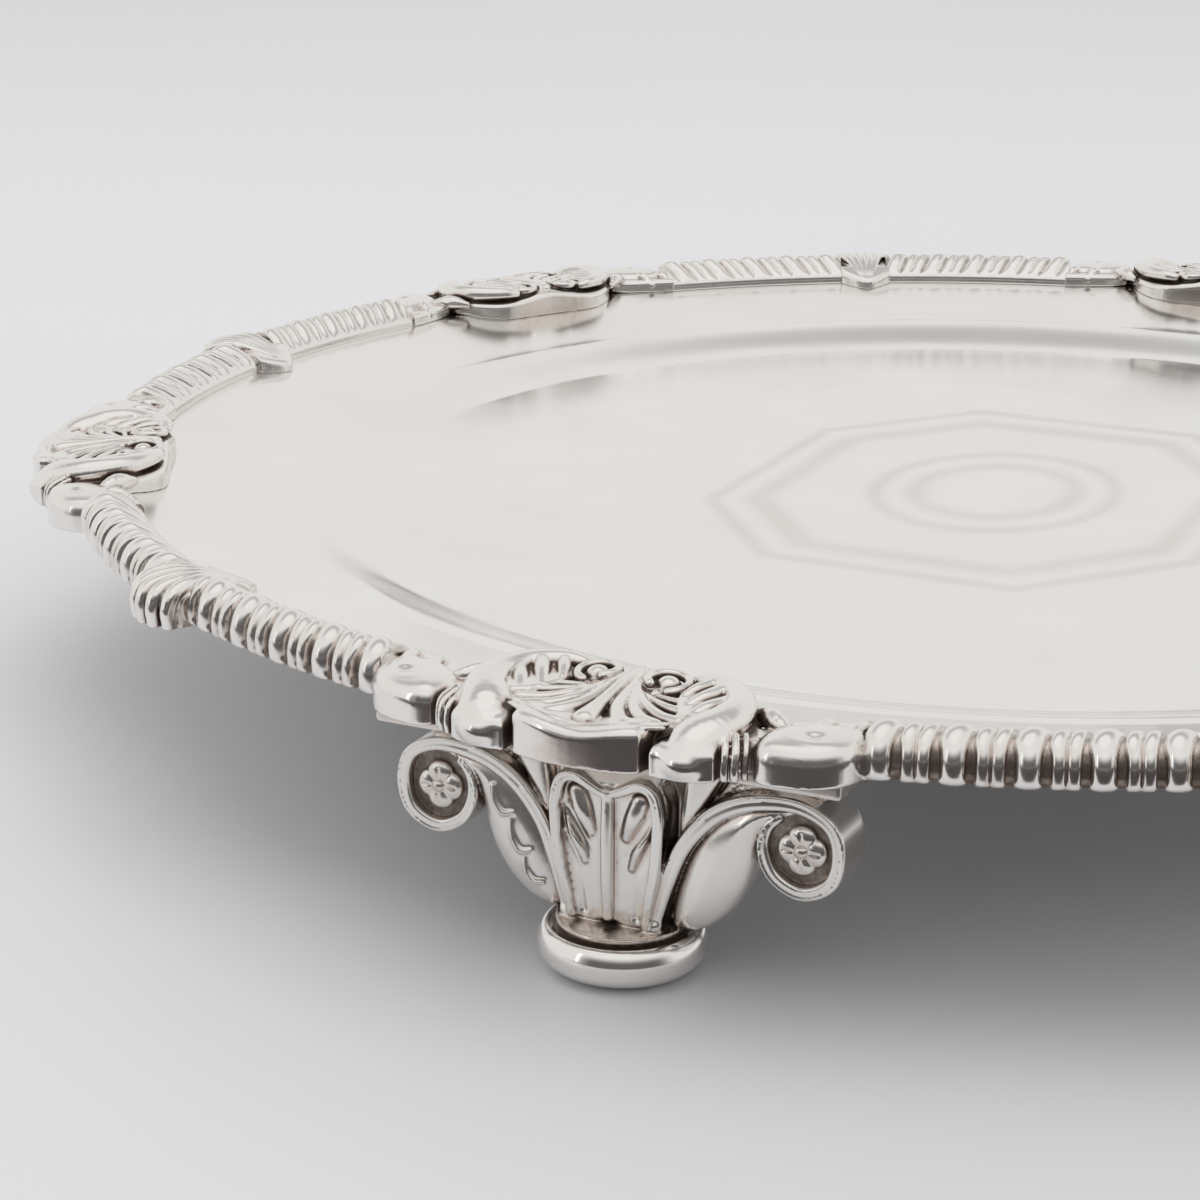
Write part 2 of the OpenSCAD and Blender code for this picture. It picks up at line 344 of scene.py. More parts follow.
class Clay:
    """A block of clay: a grid of distances to the surface, below 0 inside. Shapes are joined to
    it or carved from it, and a mesh is taken off where the distance is 0."""

    def __init__(self, low, high, step):
        self.low, self.step = np.array(low, float), step
        counts = np.ceil((np.array(high) - self.low) / step).astype(int) + 1
        self.field = np.full(counts, FAR, np.float32)

    def axes(self, cuts=(slice(None),) * 3):
        """Places of the grid's points along u, v and w, ready to combine."""
        places = [(self.low[k] + self.step * np.arange(self.field.shape[k])).astype(np.float32)[cuts[k]]
                  for k in range(3)]
        return np.ix_(*places)

    def area(self, shape, margin):
        """The part of the grid that a shape can change."""
        first = np.floor((np.array(shape.low) - margin - self.low) / self.step).astype(int)
        last = np.ceil((np.array(shape.high) + margin - self.low) / self.step).astype(int) + 1
        return tuple(slice(max(a, 0), max(b, 0)) for a, b in zip(first, last))

    def blend(self, shape, blend, sign):
        """Join a shape (sign 1) or carve it (sign -1), softened over the distance blend."""
        cuts = self.area(shape, blend + 1.5)
        held = self.field[cuts] * sign
        if held.size == 0:
            return
        added = shape.distance(*self.axes(cuts))
        soft = max(blend, 1e-3)
        merged = np.minimum(held, added) - np.maximum(soft - np.abs(held - added), 0) ** 2 / (4 * soft)
        self.field[cuts] = merged * sign

    def join(self, shape, blend=0.0):
        self.blend(shape, blend, 1)

    def carve(self, shape, blend):
        self.blend(shape, blend, -1)

    def limit(self, beyond):
        """Cut away where a function of u, v and w is above 0."""
        self.field = np.maximum(self.field, beyond(*self.axes())).astype(np.float32)

    def mirror(self):
        """Complete a block that was modelled from u = 0 upwards."""
        self.low[0] = -self.step * (self.field.shape[0] - 1)
        self.field = np.concatenate([self.field[:0:-1], self.field])

    def at(self, points):
        """The distance at any points."""
        place = (points - self.low) / self.step
        cell = np.clip(np.floor(place).astype(int), 0, np.array(self.field.shape) - 2)
        f = np.clip(place - cell, 0, 1)
        total = np.zeros(len(points))
        for i, j, k in np.ndindex(2, 2, 2):
            weight = abs(1 - i - f[:, 0]) * abs(1 - j - f[:, 1]) * abs(1 - k - f[:, 2])
            total += weight * self.field[cell[:, 0] + i, cell[:, 1] + j, cell[:, 2] + k]
        return total

    def slope(self, points):
        """Unit normals of the surface at points."""
        reach = self.step * 0.7
        parts = [self.at(points + reach * axis) - self.at(points - reach * axis) for axis in np.eye(3)]
        normal = np.stack(parts, 1)
        return normal / np.maximum(np.linalg.norm(normal, axis=1), 1e-9)[:, None]

    def fill_pinches(self):
        """Fill the grid's points where two parts of the clay would touch only along an edge."""
        for axis in (0, 1, 2) * 4:
            flat = np.moveaxis(self.field, axis, 2)
            a, b, c, d = flat[:-1, :-1], flat[1:, 1:], flat[1:, :-1], flat[:-1, 1:]
            c[(a < 0) & (b < 0) & (c >= 0) & (d >= 0)] = -0.05 * self.step
            a[(c < 0) & (d < 0) & (a >= 0) & (b >= 0)] = -0.05 * self.step

    def drop_crumbs(self):
        """Clear the grid's points that are inside the clay with no neighbour that is."""
        inside = np.pad(self.field < 0, 1)
        beside = np.zeros_like(inside)
        for axis in range(3):
            beside |= np.roll(inside, 1, axis) | np.roll(inside, -1, axis)
        self.field[(inside & ~beside)[1:-1, 1:-1, 1:-1]] = 0.05 * self.step

    def surface(self):
        """Points and quads of the surface, one point for each grid cell that it crosses."""
        field = np.pad(self.field, 1, constant_values=FAR)
        cells = tuple(n - 1 for n in field.shape)
        total, count = np.zeros((*cells, 3), np.float32), np.zeros(cells, np.float32)
        crossings = [add_crossings(field, axis, total, count) for axis in range(3)]
        active = count > 0
        number = np.full(cells, -1, np.int64)
        number[active] = np.arange(active.sum())
        points = np.argwhere(active) + total[active] / count[active][:, None] - 1
        faces = [crossing_quads(number, axis, *crossing) for axis, crossing in enumerate(crossings)]
        return points * self.step + self.low, np.concatenate(faces)

    def mesh(self, rounds=2):
        """Smoothed points, quads and how hollow the surface is at each point."""
        self.fill_pinches()
        self.drop_crumbs()
        points, faces = largest_part(*self.surface())
        ends = np.concatenate([faces, np.roll(faces, 1, axis=1)], 0).T.ravel()
        others = np.concatenate([np.roll(faces, 1, axis=1), faces], 0).T.ravel()
        degree = np.bincount(ends, minlength=len(points))
        for _ in range(rounds):
            points = points - self.slope(points) * self.at(points)[:, None]
            middle = [np.bincount(ends, points[others, k], len(points)) / degree for k in range(3)]
            points = points * 0.5 + np.stack(middle, 1) * 0.5
        normal = self.slope(points)
        hollow = np.zeros(len(points))
        for reach, share in ((0.3, 0.25), (0.7, 0.35), (1.4, 0.4)):
            hollow += share * np.clip(1 - self.at(points + normal * reach) / reach, 0, 1)
        return points, faces, hollow


# -------- materials

def node_tree(name):
    """A new material, its node tree and its shader."""
    material = bpy.data.materials.new(name)
    material.use_nodes = True
    tree = material.node_tree
    return material, tree, tree.nodes["Principled BSDF"]


def add_node(tree, kind, inputs=None, **settings):
    """A shader node with its settings, and its inputs set or linked."""
    node = tree.nodes.new(kind)
    for key, value in settings.items():
        setattr(node, key, value)
    for key, value in (inputs or {}).items():
        if isinstance(value, bpy.types.NodeSocket):
            tree.links.new(value, node.inputs[key])
        else:
            node.inputs[key].default_value = value
    return node


def maths(tree, operation, a, b=0.0):
    return add_node(tree, "ShaderNodeMath", {0: a, 1: b}, operation=operation).outputs[0]


def mixed(tree, factor, a, b, kind="RGBA"):
    """A blend of two colours, or of two numbers when kind is FLOAT."""
    node = add_node(tree, "ShaderNodeMix", {"Factor": factor, "A": a, "B": b}, data_type=kind)
    return node.outputs["Result"]


def ramp(tree, value, start, end, low=0.0, high=1.0, kind="SMOOTHSTEP"):
    """A change from low to high while a value goes from start to end."""
    inputs = {"Value": value, "From Min": start, "From Max": end, "To Min": low, "To Max": high}
    return add_node(tree, "ShaderNodeMapRange", inputs, interpolation_type=kind).outputs["Result"]


def noise(tree, scale, detail, roughness=0.5):
    """Noise in the object's own coordinates."""
    place = add_node(tree, "ShaderNodeTexCoord").outputs["Object"]
    return add_node(tree, "ShaderNodeTexNoise", {"Vector": place, "Scale": scale, "Detail": detail,
                                                 "Roughness": roughness}).outputs["Fac"]


def silver(name, bright, polish, scratch=0.25, pattern=None):
    """Polished silver: bright metal, a warm bloom beside the hollows, brown patina in them, and
    faint rubbing marks. pattern can add engraved lines."""
    material, tree, shader = node_tree(name)
    broad = noise(tree, 60.0, 5.0)
    fine = noise(tree, 900.0, 6.0, 0.7)
    relief = add_node(tree, "ShaderNodeVertexColor", layer_name="Relief").outputs["Color"]
    uneven = maths(tree, "MULTIPLY", maths(tree, "SUBTRACT", fine, 0.5), UNEVEN_STAIN)
    hollow = maths(tree, "ADD", relief, uneven)
    stain = ramp(tree, hollow, *STAIN_RANGE)
    faded = [c * share for c, share in zip(bright, FADE)]
    tint = mixed(tree, broad, bright, faded)
    warm = mixed(tree, ramp(tree, hollow, *BLOOM_RANGE), tint, BLOOM)
    colour = mixed(tree, stain, warm, BROWN)
    rough = ramp(tree, broad, 0.3, 0.7, polish * 0.8, polish * 1.5, "LINEAR")
    rough = maths(tree, "ADD", maths(tree, "MULTIPLY", stain, STAIN_ROUGH), rough)
    if pattern:
        mark = maths(tree, "MULTIPLY", pattern(tree), ENGRAVED_DEPTH)
        rough = maths(tree, "ADD", maths(tree, "MULTIPLY", mark, STAIN_ROUGH), rough)
        colour = mixed(tree, mark, colour, BLOOM)
    tree.links.new(colour, shader.inputs["Base Color"])
    tree.links.new(rough, shader.inputs["Roughness"])
    shader.inputs["Metallic"].default_value = 1.0
    bump = add_node(tree, "ShaderNodeBump", {"Height": fine, "Strength": scratch,
                                             "Distance": 0.02 * MM})
    tree.links.new(bump.outputs["Normal"], shader.inputs["Normal"])
    return material


def clouded(name, scale, detail, roughness, one, other):
    """A plain studio material that drifts between two colours."""
    material, tree, shader = node_tree(name)
    colour = mixed(tree, noise(tree, scale, detail), one, other)
    tree.links.new(colour, shader.inputs["Base Color"])
    shader.inputs["Roughness"].default_value = roughness
    return material


def ring_line(tree, distance, level, width):
    """1 where the distance is at the level, falling to 0 at the width from it."""
    away = maths(tree, "ABSOLUTE", maths(tree, "SUBTRACT", distance, level))
    return ramp(tree, away, 0.0, width, 1.0, 0.0)


def strapwork(tree):
    """An eight-sided frame of plain strapwork round a blank oval shield, on the top face only."""
    place = add_node(tree, "ShaderNodeTexCoord").outputs["Object"]
    split = add_node(tree, "ShaderNodeSeparateXYZ", {"Vector": place}).outputs
    x = maths(tree, "ABSOLUTE", maths(tree, "DIVIDE", split["X"], DEVICE_HALF[0] * MM))
    y = maths(tree, "ABSOLUTE", maths(tree, "DIVIDE", split["Y"], DEVICE_HALF[1] * MM))
    corner = maths(tree, "DIVIDE", maths(tree, "ADD", x, y), 1.5)
    octagon = maths(tree, "MAXIMUM", maths(tree, "MAXIMUM", x, y), corner)
    squares = maths(tree, "ADD", maths(tree, "POWER", x, 2.0), maths(tree, "POWER", y, 2.0))
    oval = maths(tree, "SQRT", squares)
    total = 0.0
    for shape, level, width in ((octagon, 1, 0.06), (octagon, 0.84, 0.1), (oval, 0.48, 0.07),
                                (oval, 0.32, 0.09)):
        total = maths(tree, "MAXIMUM", total, ring_line(tree, shape, level, width))
    upper = maths(tree, "GREATER_THAN", split["Z"], (WELL_Z - SHEET_T / 2) * MM)
    return maths(tree, "MULTIPLY", total, upper)


BRIGHT = (0.93, 0.925, 0.915, 1)
CAST = (0.91, 0.895, 0.875, 1)
# a darker, warmer silver for the feet, at the bottom of the salver
DARKER_CAST = (0.84, 0.825, 0.80, 1)
BLOOM = (0.76, 0.69, 0.64, 1)
BROWN = (0.20, 0.155, 0.13, 1)
FADE = (0.97, 0.95, 0.93, 1)  # how far the bright metal fades in patches
BLOOM_RANGE = (0.08, 0.45)    # how hollow a place is where the bloom starts and is full
STAIN_RANGE = (0.40, 0.90)
UNEVEN_STAIN = 0.5
STAIN_ROUGH = 0.4
ENGRAVED_DEPTH = 0.35
DEVICE_HALF = (33.5, 42)      # half width and height of the engraved frame
plate_silver = silver("plate_silver", BRIGHT, polish=0.14, scratch=0.10, pattern=strapwork)
border_silver = silver("border_silver", CAST, polish=0.17)
mount_silver = silver("mount_silver", CAST, polish=0.15)
foot_silver = silver("foot_silver", DARKER_CAST, polish=0.18)
bun_silver = silver("bun_silver", CAST, polish=0.12)
flange_silver = silver("flange_silver", CAST, polish=0.25)


# -------- plate

def sheet_z(r):
    """Height of the sheet's top face at radius r."""
    step = smooth_step((r - WELL_R) / BOUGE_W) * BOUGE_H
    rise = np.clip((r - WELL_R - BOUGE_W) / (BORDER_IN - WELL_R - BOUGE_W), 0, 1)
    return WELL_Z + step + rise * (SEAT_Z - WELL_Z - BOUGE_H)


def make_plate():
    """The sheet, with a thin bevel at its edge."""
    radii = np.concatenate([
        np.arange(0, WELL_R, 4), np.arange(WELL_R, WELL_R + BOUGE_W, 0.4),
        np.arange(WELL_R + BOUGE_W, BORDER_IN, 1.5), [BORDER_IN, SHEET_EDGE - 0.1, SHEET_EDGE],
    ])
    top = np.stack([radii, sheet_z(radii)], 1)
    bottom = np.stack([radii, sheet_z(radii) - SHEET_T], 1)
    top[-1, 1] -= 0.1
    bottom[-1, 1] += 0.1
    points, faces = lathe(np.concatenate([bottom, top[::-1]]), 480)
    make_piece("plate_sheet", points, faces, ["plate"], plate_silver, np.zeros(len(points)))


# -------- gadroon border

def border_section(count):
    """Points and outward normals along the border's section, from the inner edge over the crown
    and down the front to the underside, in radius and height."""
    line = [(BORDER_IN, SEAT_Z), (BORDER_IN, SEAT_Z + 1.0), (BORDER_IN + 0.35, SEAT_Z + 1.55),
            (BORDER_IN + 1.2, SEAT_Z + 2.3), (BORDER_IN + 2.6, CREST_Z - 0.9)]
    for a in range(90, -1, -10):
        c, s = math.cos(math.radians(a)), math.sin(math.radians(a))
        line.append((BORDER_R - 3.6 * (1 - c), UNDER_Z + 2.0 + (CREST_Z - UNDER_Z - 2.0) * s))
    line += [(BORDER_R - 0.05, UNDER_Z + 1.0), (BORDER_R - 0.35, UNDER_Z + 0.25),
             (BORDER_R - 1.0, UNDER_Z)]
    line = np.array(line)
    length = np.concatenate([[0], np.cumsum(np.hypot(*np.diff(line, axis=0).T))])
    at = np.linspace(0, length[-1], count)
    line = np.stack([np.interp(at, length, line[:, k]) for k in (0, 1)], 1)
    for _ in range(3):
        line[1:-1] = (line[:-2] + 2 * line[1:-1] + line[2:]) / 4
    along = np.gradient(line, axis=0)
    along /= np.linalg.norm(along, axis=1)[:, None]
    return line, np.stack([-along[:, 1], along[:, 0]], 1), at / length[-1]


def rib_profile(phase, gap):
    """Height of the gadroons across one pitch, 1 on a big lobe's ridge and 0 in a groove. phase
    runs from -0.5 to 0.5 and is 0 in the middle of a big lobe; gap is half a groove's width."""
    lobe = np.clip(1 - (phase / (LOBE_HALF - gap)) ** 2, 0, 1) ** 0.55
    reed_half = (0.5 - LOBE_HALF - gap) / 2
    side = np.abs(np.abs(phase) - 0.5 + reed_half) / reed_half
    reed = 0.30 + 0.55 * np.sqrt(np.clip(1 - side ** 2, 0, 1))
    edge = smooth_step((np.abs(phase) - LOBE_HALF - gap) / 0.03)
    return np.maximum(lobe, reed * edge)


def run_ends(columns, wide):
    """Fans of triangles that close the two ends of a run."""
    ends = []
    for column, order in ((0, 1), (columns - 1, -1)):
        here = column * wide + np.arange(wide)
        fan = np.stack([np.full(wide - 2, here[0]), here[1:-1], here[2:]], 1)
        ends.append(fan[:, ::order])
    return ends


def make_run(number):
    """A run of gadroons from a shell to the next fan. The odd ones are mirrored."""
    columns, rows = 340, 60
    line, normal, s = border_section(rows)
    a = np.linspace(SHELL_HALF - 0.2, 180 / SHELLS - FAN_HALF + 0.2, columns)[:, None]
    lean = LEAN * np.clip((0.62 - s) / 0.5, 0, 1) ** 1.3
    phase = ((a - lean) / PITCH + 0.5) % 1 - 0.5
    front = smooth_step((s - 0.52) / 0.22)
    low = 1 - rib_profile(phase, 0.012 + 0.043 * front)
    depth = GROOVE_DEPTH * smooth_step((s - 0.08) / 0.16) * (1 - 0.7 * smooth_step((s - 0.88) / 0.10))
    r = line[:, 0] - normal[:, 0] * depth * low
    z = line[:, 1] - normal[:, 1] * depth * low
    angle = np.radians(a)
    points = np.stack([r * np.sin(angle), -r * np.cos(angle), z], 2)
    seat = points[:, -1:].copy()
    seat[:, 0, :2] *= (SHEET_EDGE / np.linalg.norm(seat[:, 0, :2], axis=1))[:, None]
    seat[:, 0, 2] = UNDER_Z
    points = np.concatenate([points, seat], 1).reshape(-1, 3)
    # Darker in the grooves and reeds, much more on the border's front than on its top, and the
    # underside is darkened too.
    reeds = 0.22 * smooth_step((np.abs(phase) - 0.3) / 0.05)
    hollow = (low ** 1.5 + reeds) * (0.35 * smooth_step((s - 0.08) / 0.2) + 0.45 * front)
    hollow[[0, -1]] *= 0.3
    hollow = np.concatenate([hollow, np.full((columns, 1), 0.3)], 1).ravel()
    faces = [grid_faces(columns, rows + 1, close_columns=True), *run_ends(columns, rows + 1)]
    if number % 2 == 1:
        points = points * [-1, 1, 1]
        faces = [block[:, ::-1] for block in faces]
    points = turned(points, ((number - 1) // 2) * 360 / SHELLS)
    make_piece(f"gadroons_{number}", points, faces, [f"gadroon_run_{number}"],
               border_silver, hollow)


# -------- shells and fans

def underside(radius):
    """Underside of a mount: on the sheet's band, then level with the border's underside."""
    drop, width = SEAT_Z - WELL_Z - BOUGE_H, BORDER_IN - WELL_R - BOUGE_W
    band = SEAT_Z - drop * np.clip(BORDER_IN - radius, 0, 9) / width
    return np.where(radius > SHEET_EDGE, UNDER_Z, band)


def shell_core(clay):
    """The body, its outer lip, and the blocks and ends beside it."""
    core = [(-6, 112.7), (0, 112.6), (7, 112.6), (10.8, 113.3), (13.8, 115.4), (15.8, 118.4),
            (16.6, 120.6), (17.6, 119.4), (22, 117.6), (30, 117.1), (30, 123.5), (17, 125),
            (14.5, 126.5), (8, 127), (0, 128), (-6, 127.5)]
    clay.join(pad(core, PAD_BACK, lambda u, v: 29.5 + 1.5 * np.exp(-(u / 6) ** 2 - ((v - 117) / 7) ** 2)
                  + 0.3 * np.exp(-((v - 117) / 4) ** 2), 0.9))
    lip = [(-7, 130.6), (0, 130.7), (3.5, 130.5), (6.2, 129.8), (6.9, 128.8), (6.9, 126), (0, 125),
           (-7, 126)]
    clay.join(pad(lip, PAD_BACK, lambda u, v: 30.2 + 0.7 * smooth_step(np.abs(u) / 6), 0.95), 0.3)
    block = [(7.7, 128.8), (8.4, 129.7), (11.5, 129.9), (13.6, 129.3), (14.2, 128.2), (14.2, 122),
             (8, 122)]
    clay.join(pad(block, PAD_BACK, lambda u, v: 29.3 + 0.2 * (130 - v), 0.9), 0.2)
    end = [(17.3, 126.6), (18.4, 128), (21, 128.4), (24, 127.9), (26.2, 126.5), (27.6, 124.4),
           (28, 122.4), (27.6, 120.5), (27, 119.4), (22, 119.4), (18.3, 121.6), (17.2, 124)]
    clay.join(pad(end, PAD_BACK, 29.4, 1.1, dome=1.4, slope=4), 0.3)
    for x, radius, size in ((14.9, 128.4, 0.42), (15.85, 128.1, 0.45), (16.7, 127.5, 0.35)):
        clay.join(rope([(x, radius - 0.2, 26.4, size), (x, radius, 27.5, size),
                        (x, radius - 0.5, 29.3, size), (x - 0.5, radius - 2.2, 30.2, size)]), 0.2)
    clay.carve(rope([(7.25, 129.4, 25, 0.3), (7.3, 129.3, 29, 0.3), (7.5, 128.6, 31.4, 0.35)]), 0.25)


def shell_scroll(clay):
    """The broad C-scroll that rises from the block and curls round to the eye."""
    scroll = [(10.9, 128, 27.8, 2.6), (11.7, 126.2, 29.3, 2.9), (13.5, 123.4, 30.4, 2.3),
              (14, 120.3, 30.9, 1.9), (13.1, 117.5, 31.1, 1.6), (11.2, 115.4, 31.2, 1.35),
              (9, 114.2, 31.2, 1.15), (7.2, 113.9, 31, 0.9)]
    clay.join(rope(scroll, 0.8), 0.4)
    ground = [(6.8, 115.4), (10.6, 115.6), (13.2, 118.6), (13, 122.4), (10, 124.2), (8.2, 122.6),
              (6.8, 119.4)]
    clay.join(pad(ground, PAD_BACK, 31, 0.5), 0.3)
    for lobe in ([(12.2, 119.2, 30.9, 0.95), (10.8, 121.2, 30.8, 0.95), (9.6, 123.2, 30.5, 0.6)],
                 [(10.8, 117, 31.2, 0.95), (9.6, 118.9, 31, 0.9), (8.4, 120.8, 30.7, 0.55)],
                 [(8.9, 115.5, 31.2, 0.8), (8, 117, 31.1, 0.75), (7.2, 118.6, 30.8, 0.45)]):
        clay.join(rope(lobe, 0.9), 0.2)


def shell_eye(clay):
    """A ball in a hollow, inside a rim."""
    eye = (4.3, 115.9)
    clay.carve(ball((*eye, 31.9), (2.2, 2.2, 1.25)), 0.35)
    rim = [(eye[0] + 2.3 * math.cos(a), eye[1] + 2.2 * math.sin(a), 31.0 + 0.4 * math.sin(a / 2), 0.55)
           for a in np.radians(range(130, 451, 30))]
    clay.join(rope(rim), 0.15)
    clay.join(ball((*eye, 30.7), (1.45, 1.35, 1.1)), 0.15)


def shell_flutes(clay):
    """The flutes that fan out from the middle, and two ridges across their tips."""
    flutes = (
        [(0, 114.4, 31, 0.8), (0, 118, 31.2, 0.7), (-0.1, 123, 30.5, 0.95), (0.1, 127.1, 30, 1.25)],
        [(0.8, 115, 30.9, 0.7), (1.2, 118, 31, 0.62), (1.7, 122.8, 30.4, 0.85),
         (3, 125.6, 30.1, 1), (4.2, 126.9, 29.9, 1.1)],
        [(1.4, 116.2, 30.8, 0.6), (1.9, 118.2, 30.9, 0.55), (3, 122, 30.4, 0.75),
         (5, 124.8, 30.1, 0.9), (7, 125.9, 30, 0.95)],
        [(1.9, 117.4, 30.7, 0.5), (2.6, 119.2, 30.7, 0.5), (4.4, 121.8, 30.4, 0.7),
         (6.8, 123.6, 30.1, 0.8), (9, 124.3, 30.1, 0.8)],
        [(2.6, 118.6, 30.6, 0.45), (4.2, 120, 30.5, 0.5), (6.6, 121.4, 30.4, 0.6),
         (9.2, 122, 30.3, 0.6)],
        [(4.4, 118.9, 30.5, 0.4), (6.4, 119.4, 30.5, 0.45), (8.6, 119.8, 30.5, 0.4)],
    )
    for flute in flutes:
        clay.join(rope(flute, 0.95), 0.08)
    for lift, size, out in ((0, 0.34, 0), (-0.1, 0.26, 0.75)):
        clay.join(rope([(-3, 128.5 + out, 30.2 + lift, size), (0, 128.6 + out, 30.15 + lift, size),
                        (3.5, 128.4 + out, 30.45 + lift, size), (6.2, 127.6 + out, 30.75 + lift, size),
                        (8.4, 126.3 + out, 30.6 + lift, size)]), 0.12)


def shell_trims(clay):
    """The leaf and the slanting ribs between the scroll and the gadroons."""
    leaf = [(15.4, 117.2, 29.6, 0.6), (17.4, 119.4, 29.9, 1.25), (20.2, 122.2, 29.4, 0.4)]
    clay.join(rope(leaf, 0.9), 0.15)
    for x in (22.6, 26.2):
        clay.join(rope([(x + 1.4, 117.5, 28.8, 0.5), (x + 0.6, 119.6, 30, 0.75),
                        (x - 0.6, 122.6, 29.9, 0.6)]), 0.15)
    clay.carve(ball((19.3, 118.2, 31), (1.4, 1.5, 1.3)), 0.2)
    clay.carve(ball((23, 124.8, 31.3), (1.3, 1, 0.9)), 0.4)
    clay.join(rope([(18.6, 122.6, 29.6, 0.5), (19.8, 125, 30, 0.6), (22.2, 126.3, 29.9, 0.6),
                    (24.8, 125.6, 29.8, 0.55), (25.6, 123.8, 29.9, 0.45)]), 0.35)


def bent(points):
    """From distance along the border, radius and height to the frame's axes."""
    angle = points[:, 0] / BORDER_R
    return np.stack([points[:, 1] * np.sin(angle), -points[:, 1] * np.cos(angle), points[:, 2]], 1)


def sculpt_mount(half_angle, low_r, high_r, grain, steps):
    """A mount modelled on one side of its middle, mirrored and bent round the border."""
    half = math.radians(half_angle) * BORDER_R
    clay = Clay((0, low_r - 0.5, UNDER_Z - 0.5), (half + 0.5, high_r + 0.4, SHELL_HIGH[2] + 0.6), grain)
    for step in steps:
        step(clay)
    clay.limit(lambda u, v, w: np.maximum(underside(v) - w, np.maximum(u - half, low_r - v)))
    clay.mirror()
    points, faces, hollow = clay.mesh()
    return bent(points), faces[:, ::-1], hollow


def make_shells():
    steps = (shell_core, shell_scroll, shell_eye, shell_flutes, shell_trims)
    points, faces, hollow = sculpt_mount(SHELL_HALF, BORDER_IN - SHELL_INSET, LIP_R, 0.185, steps)
    hollow = np.minimum(hollow * 1.35, 1)
    make_round("shell_{}", "large_shell_{}", SHELLS, points, [faces], mount_silver, hollow)


def fan_ribs(clay):
    """A low back with five ribs over it, once it is mirrored."""
    outline = [(-6, 126.8), (0, 127.3), (4.6, 125.6), (5.2, 121), (5, 117.3), (2.6, 115), (0, 113.8),
               (-3, 114.5), (-6, 117)]
    clay.join(pad(outline, PAD_BACK, lambda u, v: 30.3 - 0.4 * np.maximum(118 - v, 0)
                  - 0.25 * np.maximum(v - 124, 0), 0.8))
    for x, reach in ((0, 128.2), (1.95, 127.9), (3.75, 127)):
        clay.join(rope([(0.15 * x, 114.4, 28.2, 0.45), (0.4 * x, 117.5, 29.7, 0.6),
                        (0.75 * x, 122, 30.9, 0.85), (0.95 * x, reach - 1.4, 30.3, 1),
                        (x, reach - 0.2, 28.6, 0.95), (x, reach - 0.3, 26.2, 0.8)]), 0.12)


def make_fans():
    points, faces, hollow = sculpt_mount(FAN_HALF, BORDER_IN - FAN_INSET, FAN_R, 0.15, (fan_ribs,))
    make_round("fan_{}", "small_fan_{}", SHELLS, points, [faces], mount_silver, hollow, 0.5)


# -------- feet

def bracket_body(clay):
    """The plain body, the discs of the volutes, and a leaf and a tongue on either side."""
    body = [(-6, 25.6), (22.6, 25.6), (22.4, 22.6), (20.4, 17), (16.6, 17), (15.6, 14.4),
            (14.5, 11.4), (12.3, 8.5), (9.4, 6.3), (0, 5.9), (-6, 5.9)]
    clay.join(pad(body, BRACKET_BACK, -1.9, 0.6, smooth=False))
    circle = [(VOLUTE_X + 4.6 * math.cos(a), VOLUTE_Z + 4.6 * math.sin(a))
              for a in np.radians(range(0, 360, 15))]
    clay.join(pad(circle, BRACKET_BACK, -0.9, 0.5))
    leaf = [(19.4, 21.2), (17, 18.9), (15.9, 16.6), (15.3, 14.2), (14.4, 11.4), (12.6, 8.6),
            (10, 6.4), (7.4, 5.8), (6.2, 6.6), (6.7, 11), (8.6, 16), (11.6, 19.6), (15, 21.4)]
    clay.join(pad(leaf, -5, -1.5, 0.6, dome=1.9, slope=3.6), 0.2)
    tongue = [(8.4, 25.2), (12.6, 25.2), (10.4, 20.6), (8.6, 17.6), (7.5, 14.8), (7.2, 18), (7.6, 21.5)]
    clay.join(pad(tongue, -3, -0.5, 0.5, dome=0.6, slope=1.2), 0.2)


def bracket_scrolls(clay):
    """The strap that runs from the waist up, over the top and round each volute."""
    line = [(4.9, 6.1, 0.62, 0.9), (5.5, 8.4, 0.65, 1), (6.4, 11.6, 0.75, 0.95), (8, 15.7, 0.85, 0.8),
            (10.8, 19.2, 0.9, 0.65), (14.2, 21.3, 0.9, 0.55), (18, 22.1, 0.82, 0.45),
            (21.2, 21.9, 0.75, 0.4), (23.9, 20.3, 0.72, 0.35), (24.75, 17.3, 0.72, 0.3),
            (23.8, 14.2, 0.72, 0.3), (20.8, 12.75, 0.7, 0.25), (17.8, 14, 0.66, 0.2),
            (16.5, 16.7, 0.6, 0.15), (16.9, 19, 0.5, 0), (18.2, 20.3, 0.35, -0.2)]
    clay.join(strap(line, -5.7, 0.32, edge=0.14), 0.08)
    for gap in (0, 0.55, 1.1):
        clay.join(rope([(7.6 + gap, 16.9 + gap * 0.3, -1.6, 0.2), (9.6 + gap, 19.8, -1.7, 0.22),
                        (12.8, 22.0 + gap, -1.8, 0.22), (17, 23.1 + gap, -1.8, 0.2)]), 0.1)
    clay.join(rope([(4.3, 7, 1, 0.6), (4.6, 6.2, 0.9, 0.55), (5.2, 6.5, 0.7, 0.6)]), 0.3)


